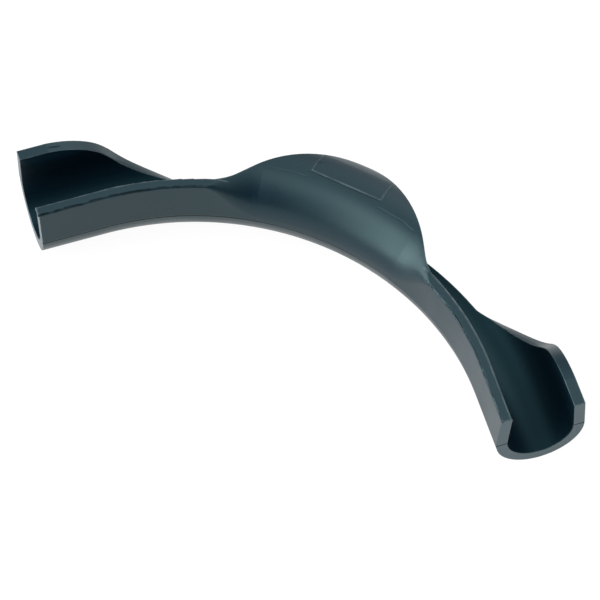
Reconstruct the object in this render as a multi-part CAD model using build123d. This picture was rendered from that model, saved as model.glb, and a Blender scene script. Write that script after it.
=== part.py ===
from build123d import *
from math import acos, cos, degrees, radians, sin, sqrt
import os

# Pipe bend guide, moulded in one piece. It holds a plastic pipe in a quarter bend.
# All sizes are in millimetres. X runs along the chord of the bend, Y points out through
# its middle, and Z is up. The guide is drawn with the bend's centre at zero, then moved
# so that zero lies under the middle of its length and width, where it rests.

# The pipe and the path that it is held to
pipe_diameter = 16.0
pipe_clearance = 0.1  # all round the pipe
bend_radius = 80.0  # of the pipe's centreline, five pipe diameters
bend_angle = 90.0
leg_length = 15.5  # straight channel past each end of the bend

# The channel's walls
wall = 2.65
inner_wall_lean = 1.0  # the wall on the inside of the bend closes over the pipe by this much
outer_wall_lean = 0.2
outer_wall_rise = 8.8  # top of the outer wall above the pipe's centre
parting_step = 0.15  # the upper half stands this proud of the lower half at the parting line
edge_round = 0.5  # of the inner wall's top edges
end_lip_depth = 0.6  # of the lip at the top of the inner wall's ends
end_lip_length = 0.25  # how far it stands out past the ends
end_lip_taper = 0.25  # its top is this much narrower than its foot, on each side

# The floor's free edge in the middle, and its climb to the top of the outer wall
floor_lip = 2.75  # past the pipe's centreline
floor_half_angle = 27.0
level_top = 5.0  # length of the outer wall's level top at each end of the guide
climb_bow = (0.735, 0.41, 0.64)  # where the climb's curve is drawn to, as shares of its length
climb_bow_share = 0.54  # and, for the first two, as a share of its height
cut_flattening = 0.6  # share by which the upper half of the cut edge turns from square to level

# The tongue that closes over the pipe in the middle
tongue_reach = 9.2  # past the pipe's centreline
tongue_half_width = 22.9  # where its rounded front runs into its straight flanks
tongue_front_depth = 15.5  # from its tip back to there
tongue_tip_pull = 6.0  # how long the front stays square to the tip
tongue_side_pull = 11.0  # and how long it stays in line with the flanks
tongue_flank_angle = 56.0
tongue_root_round = 14.5
mouth_angle = 31.0  # of the underside of its free edge, above the level
shoulder_full_angle = 15.0  # its shoulder is round over the full height up to here
shoulder_end_angle = 25.0  # and has run out to the wall's top edge here
shoulder_fade = 0.8  # below 1 the round shrinks later on its way to that edge

# The marking pad on the tongue, left blank
pad_width = 18.3
pad_length = 6.4
pad_height = 0.2
pad_setback = 0.6  # its inner edge lies this far inside the pipe's centreline
pad_shift = 0.4  # it sits this far to the left of the middle
pad_back_angle = 120.0  # the pad's skin is drawn round to here, past its inner edge

# Sizes that follow from those above
channel_radius = pipe_diameter / 2 + pipe_clearance
shell_radius = channel_radius + wall
floor_angle = degrees(acos(floor_lip / shell_radius))  # of the floor's free edge, below the level
half_arc = bend_radius * radians(bend_angle / 2)
half_path = half_arc + leg_length
spare = 4.0  # how far a cutting shape runs past the solid
cut_over = 0.1  # how far the climb's cut ends above the outer wall's top
overlap = 0.4  # how far neighbouring shapes run into each other
climb_sections = 14
shoulder_sections = 6


def station(s):
    """The plane square to the path at distance s from its middle: x is outward, y is up."""
    turned = max(-half_arc, min(s, half_arc))
    outward = Vector(sin(turned / bend_radius), cos(turned / bend_radius), 0)
    along = Vector(outward.Y, -outward.X, 0)
    centre = outward * bend_radius + along * (s - turned)
    return Plane(centre, x_dir=outward, z_dir=along)


def path(first, last):
    """The pipe's centreline between two distances from its middle."""
    pieces = []
    stops = [first] + [s for s in (-half_arc, half_arc) if first < s < last] + [last]
    for start, end in zip(stops[:-1], stops[1:]):
        here, there = station(start).origin, station(end).origin
        if max(abs(start), abs(end)) > half_arc:
            pieces.append(Line(here, there).edge())
        else:
            pieces.append(ThreePointArc(here, station((start + end) / 2).origin, there).edge())
    return Wire(pieces)


def along_path(outline, first, last):
    """Sweep a face drawn in a station's plane between two distances from the middle."""
    return sweep(station(first) * outline, path=path(first, last)).solid()


def straight_face(*points):
    return Face(Wire.make_polygon([Vector(*p) for p in points], close=True))


def straight(*points):
    """Straight edges from each point to the next."""
    return [Line(a, b).edge() for a, b in zip(points[:-1], points[1:])]


def round_corner(before, corner, after, radius):
    """The arc that rounds a corner, and the points where it starts and ends."""
    corner = Vector(*corner)
    to_before = (Vector(*before) - corner).normalized()
    to_after = (Vector(*after) - corner).normalized()
    half = radians(to_before.get_angle(to_after)) / 2
    start = corner + to_before * (radius * cos(half) / sin(half))
    end = corner + to_after * (radius * cos(half) / sin(half))
    middle = corner + (to_before + to_after).normalized() * (radius / sin(half) - radius)
    return ThreePointArc(start, middle, end).edge(), start, end


inner_face_foot = -shell_radius - parting_step
inner_face_top = -shell_radius + inner_wall_lean


def shoulder_section(radius):
    """The upper inside quarter of the guide, solid, its top corner rounded by radius."""
    foot, corner, crown = (inner_face_foot, 0), (inner_face_top, shell_radius), (0, shell_radius)
    arc, start, end = round_corner(foot, corner, crown, radius)
    skin = [Line(foot, start).edge(), arc, Line(end, crown).edge()]
    return Face(Wire(skin + straight(crown, (0, 0), foot)))


def shoulder():
    """The upper inside quarter along the whole guide: a half pipe in the middle, a wall at the ends."""
    full_radius = shell_radius - overlap
    full = bend_radius * radians(shoulder_full_angle)
    end = bend_radius * radians(shoulder_end_angle)
    parts = [along_path(shoulder_section(full_radius), -full, full)]
    for side in (-1, 1):
        sections = []
        for i in range(shoulder_sections + 1):
            share = i / shoulder_sections
            eased = (1 - share) ** shoulder_fade
            radius = edge_round + (full_radius - edge_round) * eased * eased * (3 - 2 * eased)
            s = full + (end - full) * share
            sections.append(station(side * s) * shoulder_section(radius))
        parts.append(loft(sections).solid())
        ends = sorted((side * end, side * half_path))
        parts.append(along_path(shoulder_section(edge_round), *ends))
    return parts


def on_skin(radius, angle):
    """A point in a station's plane, by its distance from the pipe's centre and its angle."""
    return (radius * cos(angle), radius * sin(angle))


def ring_part(inner, outer, first, last):
    """Part of a ring round the pipe's centre between two angles in degrees."""
    first, last = radians(first), radians(last)
    middle = (first + last) / 2
    outside = ThreePointArc(*[on_skin(outer, angle) for angle in (first, middle, last)]).edge()
    inside = ThreePointArc(*[on_skin(inner, angle) for angle in (last, middle, first)]).edge()
    ends = [Line(outside @ 1, inside @ 0).edge(), Line(inside @ 1, outside @ 0).edge()]
    return Face(Wire([outside, ends[0], inside, ends[1]]))


def tongue_prism():
    """The tongue's outline seen from above, as an upright block."""
    flank = radians(tongue_flank_angle)
    outward = Vector(sin(flank), cos(flank))
    down = Vector(cos(flank), -sin(flank))
    tip = Vector(0, bend_radius + tongue_reach)
    flank_start = Vector(tongue_half_width, tip.Y - tongue_front_depth)
    tip_guide = tip + Vector(tongue_tip_pull, 0)
    side_guide = flank_start - down * tongue_side_pull
    front = Bezier(tip, tip_guide, side_guide, flank_start).edge()
    # The root's round touches the straight flank and the wall's edge
    wall_edge = bend_radius + inner_face_top + wall - edge_round
    base = flank_start + outward * tongue_root_round
    along = base.dot(down)
    length = -along - sqrt(along * along - base.dot(base) + (wall_edge + tongue_root_round) ** 2)
    root_centre = base + down * length
    flank_end = flank_start + down * length
    root_end = root_centre.normalized() * wall_edge
    between = (flank_end + root_end) * 0.5 - root_centre
    root_middle = root_centre + between.normalized() * tongue_root_round
    root = ThreePointArc(flank_end, root_middle, root_end).edge()
    half = [front, Line(flank_start, flank_end).edge(), root]
    other_half = [edge.mirror(Plane.YZ) for edge in half]
    closing = Line(root_end, Vector(-root_end.X, root_end.Y)).edge()
    outline = Face(Wire(half + [closing] + other_half))
    return extrude(outline, shell_radius + spare, dir=(0, 0, 1)).solid()


def open_channel():
    """The space over the pipe, up past the inner wall, whose top edge it rounds."""
    foot, top = Vector(-channel_radius, 0), Vector(inner_face_top + wall, shell_radius)
    arc, start, end = round_corner(foot, top, top - Vector(wall, 0), edge_round)
    rim = straight(end, end + Vector(0, spare), (spare, shell_radius + spare), (spare, 0), foot)
    return Face(Wire([Line(foot, start).edge(), arc] + rim))


def outer_wall_section():
    top = (shell_radius - outer_wall_lean, outer_wall_rise)
    return straight_face((channel_radius, 0), (shell_radius, 0), top, (top[0] - wall, outer_wall_rise))


def climb_curve():
    """The floor's free edge, laid out flat: distance along the path, and up round the skin."""
    start_s = bend_radius * radians(floor_half_angle)
    end_s = half_path - level_top
    start_u = -shell_radius * radians(floor_angle)
    end_u = outer_wall_rise + cut_over
    length, height = end_s - start_s, end_u - start_u
    first, second, third = [start_s + share * length for share in climb_bow]
    bow_u = start_u + climb_bow_share * height
    guides = [(first, bow_u), (second, bow_u), (third, end_u)]
    return Bezier((start_s, start_u), *guides, (end_s, end_u)).edge()


def climb_cutter(side):
    """The open space beside the climbing edge."""
    sections = []
    curve = climb_curve()
    points = [curve @ (i / climb_sections) for i in range(climb_sections + 1)]
    points.insert(0, points[0] - Vector(overlap, 0))
    for i, point in enumerate(points):
        share = max(0, i - 1) / climb_sections
        skin_angle = min(point.Y, 0) / shell_radius
        cut_angle = skin_angle * (1 - cut_flattening * min(1, 2 * share))
        edge = Vector(*on_skin(shell_radius, skin_angle)) + Vector(0, max(point.Y, 0))
        inward = edge - Vector(*on_skin(shell_radius, cut_angle))
        beyond = edge + Vector(*on_skin(spare, cut_angle))
        far = shell_radius + 2 * spare
        face = straight_face(inward, beyond, (far, beyond.Y), (far, far), (inward.X, far))
        sections.append(station(side * point.X) * face)
    return loft(sections).solid()


def end_lips():
    """The thin lips that stand out past both ends of the inner wall, level with its top."""
    top, lip_foot = shell_radius, shell_radius - end_lip_depth
    outline = straight_face(
        (inner_face_top, lip_foot),
        (inner_face_top + wall, lip_foot),
        (inner_face_top + wall - end_lip_taper, top),
        (inner_face_top + end_lip_taper, top),
    )
    reach, root = half_path + end_lip_length, half_path - overlap
    return [along_path(outline, *ends) for ends in ((-reach, -root), (root, reach))]


def marking_pad():
    """The plain raised field on the tongue's crown, with upright edges."""
    skin = ring_part(shell_radius - overlap, shell_radius + pad_height, mouth_angle, pad_back_angle)
    skin = along_path(skin, -pad_width, pad_width)
    middle = bend_radius - pad_setback + pad_length / 2
    block = Pos(-pad_shift, middle, shell_radius) * Box(pad_width, pad_length, 2 * shell_radius)
    return skin.intersect(block).solids()[0]


def bend_guide():
    middle = bend_radius * radians(floor_half_angle)
    wall_start = middle + overlap
    wall_ends = ((-half_path, -wall_start), (wall_start, half_path))
    bore = along_path(Face(Wire.make_circle(channel_radius)), -half_path, half_path)
    tongue = tongue_prism()
    gap = along_path(open_channel(), -half_path, half_path).cut(tongue).solids()
    inside = [solid for piece in shoulder() for solid in piece.cut(bore, *gap).solids()]
    crown = along_path(ring_part(channel_radius, shell_radius, 0, 90), -middle, middle)
    floor = along_path(ring_part(channel_radius, shell_radius, 180, 360), -half_path, half_path)
    walls = [along_path(outer_wall_section(), *ends).cut(bore).solid() for ends in wall_ends]
    body = floor.fuse(*inside, *crown.intersect(tongue).solids(), *walls)
    mouth = ring_part(channel_radius - spare, shell_radius + spare, -floor_angle, mouth_angle)
    body = body.cut(along_path(mouth, -middle, middle), climb_cutter(-1), climb_cutter(1))
    return body.fuse(marking_pad(), *end_lips()).solid()


guide = bend_guide()
box = guide.bounding_box()
guide = Pos(0, -box.center().Y, shell_radius) * guide
os.makedirs("parts", exist_ok=True)
export_step(guide, "parts/bend_guide.step")
print("moved by", -box.center().Y, "volume", guide.volume, "valid", guide.is_valid)
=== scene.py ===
import math
import bpy
from mathutils import Matrix, Vector

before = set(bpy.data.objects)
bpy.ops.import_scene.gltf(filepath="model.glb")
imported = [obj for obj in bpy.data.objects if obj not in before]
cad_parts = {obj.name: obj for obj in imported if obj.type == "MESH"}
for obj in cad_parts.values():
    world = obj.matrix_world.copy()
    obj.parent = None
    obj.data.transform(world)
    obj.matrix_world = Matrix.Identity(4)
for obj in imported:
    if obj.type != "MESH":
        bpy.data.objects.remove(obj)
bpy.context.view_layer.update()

# Where the photo was taken from: about a metre away and high up, to the right of the middle.
# Lengths are in metres. Angles are in radians. The aim is given from the centre of the bend.
BEND_CENTRE = Vector((0, -0.06355046, 0.01075))
AIM = BEND_CENTRE + Vector((0.001478, 0.0521, 0))
AZIMUTH, ELEVATION, ROLL = 0.5001786, 1.0251137, -0.0195094
DISTANCE = 1.0482
toward_camera = Vector((
    math.sin(AZIMUTH) * math.cos(ELEVATION),
    -math.cos(AZIMUTH) * math.cos(ELEVATION),
    math.sin(ELEVATION),
))
level_right = toward_camera.cross(Vector((0, 0, -1))).normalized()
level_up = level_right.cross(-toward_camera)
right = level_right * math.cos(ROLL) + level_up * math.sin(ROLL)
up = level_up * math.cos(ROLL) - level_right * math.sin(ROLL)
camera_data = bpy.data.cameras.new("camera")
camera_data.sensor_width = 36
camera_data.lens = 267.77
camera_data.clip_end = 20
camera = bpy.data.objects.new("camera", camera_data)
turn = Matrix((right, up, toward_camera)).transposed().to_4x4()
camera.matrix_world = Matrix.Translation(AIM + toward_camera * DISTANCE) @ turn
bpy.context.collection.objects.link(camera)
bpy.context.scene.camera = camera
bpy.context.scene.view_settings.view_transform = "Standard"


class Tree:
    """Short ways to add nodes to a shader tree and to join them."""

    def __init__(self, tree, output):
        tree.nodes.clear()
        self.tree = tree
        self.output = self.add(output)

    def add(self, kind, inputs=None, **settings):
        node = self.tree.nodes.new(kind)
        for name, value in settings.items():
            setattr(node, name, value)
        for name, value in (inputs or {}).items():
            if isinstance(value, bpy.types.NodeSocket):
                self.tree.links.new(value, node.inputs[name])
            else:
                node.inputs[name].default_value = value
        return node

    def math(self, operation, *values):
        inputs = dict(enumerate(values))
        return self.add("ShaderNodeMath", inputs, operation=operation).outputs[0]

    def fade(self, value, full, none):
        """1 where the value is at or past full, falling to 0 where it is at or past none."""
        inputs = {"Value": value, "From Min": none, "From Max": full}
        return self.add("ShaderNodeMapRange", inputs, interpolation_type="SMOOTHSTEP").outputs["Result"]

    def line(self, value, centre, half_width):
        """1 where the value is at the centre, falling to 0 on both sides."""
        return self.fade(self.math("ABSOLUTE", self.math("SUBTRACT", value, centre)), 0, half_width)

    def product(self, *values):
        result = values[0]
        for value in values[1:]:
            result = self.math("MULTIPLY", result, value)
        return result

    def mix(self, share, first, second):
        return self.add("ShaderNodeMix", {0: share, 6: first, 7: second}, data_type="RGBA").outputs[2]

    def noise(self, place, scale, detail):
        inputs = {"Vector": place, "Scale": scale, "Detail": detail}
        return self.add("ShaderNodeTexNoise", inputs).outputs["Fac"]

    def surface(self, shader):
        self.tree.links.new(shader, self.output.inputs["Surface"])


def new_material(name):
    """A material, and its emptied node tree."""
    material = bpy.data.materials.new(name)
    material.use_nodes = True
    return material, Tree(material.node_tree, "ShaderNodeOutputMaterial")


# The guide: one piece of injection-moulded plastic, dark slate green, as it comes from the mould.
# Its skin is satin with a faint grain and duller streaks where the plastic flowed. The two halves
# of the mould leave a thin line at half height, drawn dark as painted shadow under its step, and the
# crown has a crease on both sides of the pad. Painted shade darkens the bore and the foot of the pad,
# painted light lightens the end faces, and the pale edges are partly wear, partly painted highlight.
BEND_RADIUS = 0.08
SKIN = 0.01075  # from the pipe's centreline to the outer skin
BORE = 0.0081
LEG = 0.0155
WALL_TOP = 0.0215
PARTING_HEIGHT = BEND_CENTRE.z - 0.00012
CREASE_RADIUS = 0.078
HALF_TURN = math.sqrt(0.5)  # sine and cosine of half the bend's angle

plastic, t = new_material("moulded_plastic")
place = t.add("ShaderNodeTexCoord").outputs["Object"]
x, y, z = t.add("ShaderNodeSeparateXYZ", {"Vector": place}).outputs
side = t.math("ABSOLUTE", x)
ahead = t.math("SUBTRACT", y, BEND_CENTRE.y)
on_leg = t.math("GREATER_THAN", side, ahead)
around = t.math("SQRT", t.math("ADD", t.product(side, side), t.product(ahead, ahead)))
across = t.product(t.math("ADD", side, ahead), HALF_TURN)
along_leg = t.product(t.math("SUBTRACT", side, ahead), HALF_TURN)
outward = t.math("ADD", around, t.product(on_leg, t.math("SUBTRACT", across, around)))
from_path = t.math("ABSOLUTE", t.math("SUBTRACT", outward, BEND_RADIUS))

skin = t.fade(from_path, SKIN - 0.0003, SKIN - 0.0005)
end_face = t.fade(along_leg, LEG - 0.00004, LEG - 0.0001)
# Painted shadow: a dark line under the small step where the mould's two halves meet, on the skin and the end
# faces.
parting_shadow = t.math(
    "MAXIMUM",
    t.product(t.line(z, PARTING_HEIGHT, 0.00028), end_face),
    t.product(t.line(z, PARTING_HEIGHT, 0.00048), skin),
)
height = t.math("SUBTRACT", z, BEND_CENTRE.z)
radial = t.math("SQRT", t.math("ADD", t.product(from_path, from_path), t.product(height, height)))
bore = t.product(
    t.fade(from_path, BORE + 0.0002, BORE + 0.0004),
    t.fade(radial, BORE + 0.0007, SKIN - 0.0003),
    t.math("SUBTRACT", 1.0, end_face),
)
wander = t.product(t.math("SUBTRACT", t.noise(place, 220.0, 2.0), 0.5), 0.0012)
crease = t.product(
    t.line(t.math("ADD", around, wander), CREASE_RADIUS, 0.00035),
    t.fade(side, 0.0185, 0.0205),
    t.fade(z, 0.0195, 0.019),
    t.fade(t.math("ABSOLUTE", t.math("ADD", x, 0.0004)), 0.0096, 0.0092),
)
inside = t.math("SUBTRACT", BEND_RADIUS, outward)
wall_top = t.fade(z, WALL_TOP - 0.0005, WALL_TOP - 0.0008)
broken = t.fade(t.noise(place, 500.0, 2.0), 0.6, 0.35)
# A broken dark line along the top of the near wall, towards its outer edge.
wall_top_dark_line = t.product(t.line(t.math("ADD", inside, t.product(wander, 0.5)), 0.0095, 0.00034), wall_top, broken, 0.7)
# Painted highlight: a pale line along the near wall's top inner edge.
rim_highlight = t.product(t.line(inside, 0.0075, 0.0003), wall_top)
scuff = t.product(
    t.line(t.math("ADD", outward, wander), BEND_RADIUS + 0.0092, 0.0003),
    t.fade(t.math("ABSOLUTE", t.math("SUBTRACT", along_leg, 0.0065)), 0.001, 0.0022),
    t.fade(x, -0.02, -0.01),
    t.fade(z, 0.0191, 0.0188),
    0.6,
)
# Painted shade: a dark line along the foot of the raised pad's near edge.
pad_foot_shade = t.product(
    t.line(ahead, BEND_RADIUS - 0.00095, 0.0003),
    t.fade(t.math("ABSOLUTE", t.math("ADD", x, 0.0004)), 0.009, 0.0094),
    t.fade(z, 0.0205, 0.02),
    0.45,
)
# The scuff is a mark on the plastic; the line at the pad's foot is painted shade.
scuff_and_pad_foot_shade = t.math("MAXIMUM", pad_foot_shade, scuff)
# All dark lines together: painted shadow at the parting step, painted shade at the pad's foot, the line on the
# wall top and the scuff.
dark = t.math("MAXIMUM", parting_shadow, t.math("MAXIMUM", wall_top_dark_line, scuff_and_pad_foot_shade))
groove = t.math("ADD", dark, t.product(crease, 0.35))
sharp = t.add("ShaderNodeNewGeometry").outputs["Normal"]
soft = t.add("ShaderNodeBevel", {"Radius": 0.0004}, samples=8).outputs["Normal"]
turned = t.add("ShaderNodeVectorMath", {0: sharp, 1: soft}, operation="DOT_PRODUCT").outputs["Value"]
rubbed = t.add("ShaderNodeMapRange", {"Value": t.noise(place, 300.0, 2.0), "From Min": 0.4, "From Max": 0.6, "To Min": 0.35})
# Pale edges, broken up by noise: partly edge wear, partly painted highlight on the rounded edges.
edge_wear_and_highlight = t.product(t.math("MAXIMUM", t.fade(turned, 0.93, 0.998), t.product(rim_highlight, 0.8)), rubbed.outputs["Result"])

grain = t.noise(place, 2600.0, 2.0)
flow = t.noise(place, 90.0, 3.0)
rounded = t.add("ShaderNodeBevel", {"Radius": 0.0003}, samples=6).outputs["Normal"]
grooved = t.add(
    "ShaderNodeBump", {"Height": groove, "Strength": 0.6, "Distance": 0.0002, "Normal": rounded}, invert=True
).outputs["Normal"]
bumped = t.add(
    "ShaderNodeBump", {"Height": grain, "Strength": 0.1, "Distance": 0.0002, "Normal": grooved}
).outputs["Normal"]
roughness = t.add(
    "ShaderNodeMapRange", {"Value": flow, "From Min": 0.3, "From Max": 0.7, "To Min": 0.32, "To Max": 0.4}
).outputs["Result"]
tone = t.mix(flow, (0.0005, 0.006, 0.0135, 1), (0.0005, 0.010, 0.0195, 1))
# Painted light: the end faces are drawn lighter, standing in for the light they catch.
tone = t.mix(end_face, tone, (0.03, 0.05, 0.065, 1))
# Painted shade: the bore is drawn darker, standing in for the shade in the channel.
tone = t.mix(bore, tone, (0.0003, 0.003, 0.007, 1))
# Edges drawn lighter: wear and painted highlight.
tone = t.mix(edge_wear_and_highlight, tone, (0.055, 0.08, 0.09, 1))
# The bore's reflections are tinted darker too: painted shade.
shine = t.mix(bore, (0.65, 1.0, 1.0, 1), (0.22, 0.6, 0.72, 1))
# The dark lines are drawn near black with no reflection: painted shadow and shade, as listed above.
body = t.add("ShaderNodeBsdfPrincipled", {
    "Base Color": t.mix(dark, tone, (0.0005, 0.001, 0.0015, 1)),
    "Roughness": t.math("MAXIMUM", roughness, t.math("MAXIMUM", t.product(bore, 0.46), t.product(dark, 0.9))),
    "IOR": 1.5,
    "Specular Tint": t.mix(dark, shine, (0, 0, 0, 1)),
    "Normal": bumped,
})
t.surface(body.outputs[0])
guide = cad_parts["bend_guide"]
guide.data.materials.clear()
guide.data.materials.append(plastic)

# The floor: a white table top that runs out of sight. It glows for the camera and in reflections,
# so it shows white, and takes the guide's shadow. Its bounce on dull surfaces stays plain.
GLOW = 0.95
bpy.ops.mesh.primitive_plane_add(size=12, location=(0, 0, -0.0002))
floor = bpy.context.object
floor.name = "floor"
white, t = new_material("white_table")
bounce = t.add("ShaderNodeLightPath").outputs["Is Diffuse Ray"]
plain = t.add("ShaderNodeBsdfDiffuse", {"Color": (0.75, 0.75, 0.75, 1)}).outputs[0]
shaded = t.add("ShaderNodeBsdfDiffuse", {"Color": (0.08, 0.08, 0.08, 1)}).outputs[0]
glow = t.add("ShaderNodeEmission", {"Color": (1, 1, 1, 1), "Strength": GLOW}).outputs[0]
seen = t.add("ShaderNodeAddShader", {0: shaded, 1: glow}).outputs[0]
t.surface(t.add("ShaderNodeMixShader", {0: bounce, 1: seen, 2: plain}).outputs[0])
floor.data.materials.append(white)

# The light: large soft boxes far off in a dim room, painted on the sky as round patches that fade
# out. Each has its direction from the front (to the right is positive), its height and its strength.
SOFT_BOXES = {
    "overhead": (0, 90, 0.8),
    "left_high": (-60, 50, 5.0),
    "right_high": (60, 50, 0.45),
    "behind_right_high": (120, 50, 1.5),
    "behind_high": (180, 50, 2.0),
    "left": (-90, 15, 3.8),
    "front_left": (-45, 15, 6.0),
    "right": (90, 15, 1.2),
    "behind_right": (135, 15, 1.3),
    "behind": (180, 15, 1.1),
}
SPREAD = 12.0  # a higher power makes a smaller patch
world = bpy.data.worlds.new("room")
world.use_nodes = True
t = Tree(world.node_tree, "ShaderNodeOutputWorld")
direction = t.add("ShaderNodeTexCoord").outputs["Generated"]
total = 0.0
for azimuth, elevation, strength in SOFT_BOXES.values():
    azimuth, elevation = math.radians(azimuth), math.radians(elevation)
    toward = (
        math.sin(azimuth) * math.cos(elevation),
        -math.cos(azimuth) * math.cos(elevation),
        math.sin(elevation),
    )
    facing = t.add("ShaderNodeVectorMath", {0: direction, 1: toward}, operation="DOT_PRODUCT").outputs["Value"]
    patch = t.math("POWER", t.math("MAXIMUM", facing, 0.0), SPREAD)
    total = t.math("ADD", total, t.product(patch, strength))
t.surface(t.add("ShaderNodeBackground", {"Color": (1, 1, 1, 1), "Strength": total}).outputs[0])
bpy.context.scene.world = world
